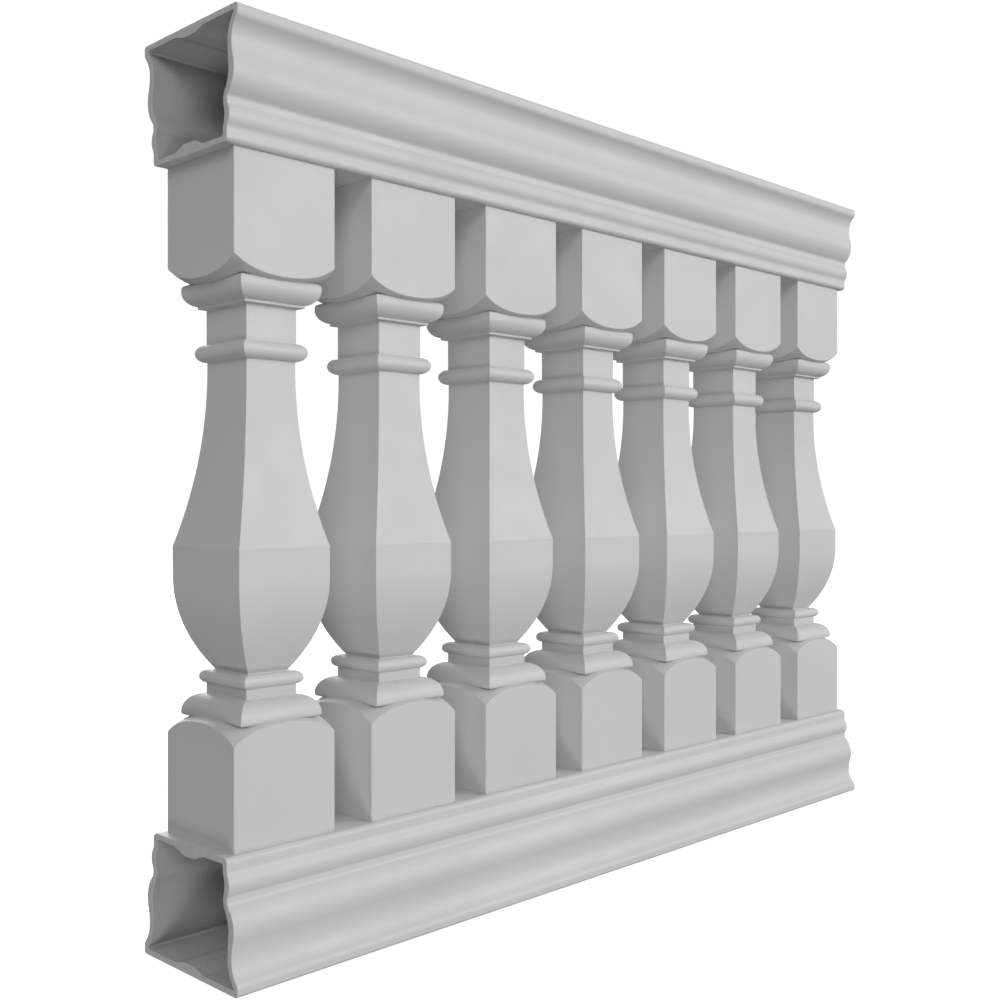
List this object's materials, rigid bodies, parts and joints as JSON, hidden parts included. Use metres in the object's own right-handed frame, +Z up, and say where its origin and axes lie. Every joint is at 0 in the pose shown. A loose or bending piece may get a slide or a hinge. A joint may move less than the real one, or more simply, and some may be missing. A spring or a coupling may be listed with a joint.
{
  "type": "fiberglass balustrade section",
  "caption": "Straight bay of moulded fiberglass balustrade: hollow moulded top and bottom rails with square turned-pattern balusters between them.",
  "frame": {"origin": "middle of the bottom rail's flat base", "axes": "+X along the rails, -Y is the front, +Z up"},
  "size_m": [1.2192, 0.1778, 0.9779],
  "materials": {
    "fiberglass": "smooth off-white moulded fiberglass, satin"
  },
  "bodies": {
    "root": {"bottom_rail": "fiberglass", "top_rail": "fiberglass", "baluster_1": "fiberglass", "baluster_2": "fiberglass", "baluster_3": "fiberglass", "baluster_4": "fiberglass", "baluster_5": "fiberglass", "baluster_6": "fiberglass", "baluster_7": "fiberglass"}
  },
  "joints": []
}
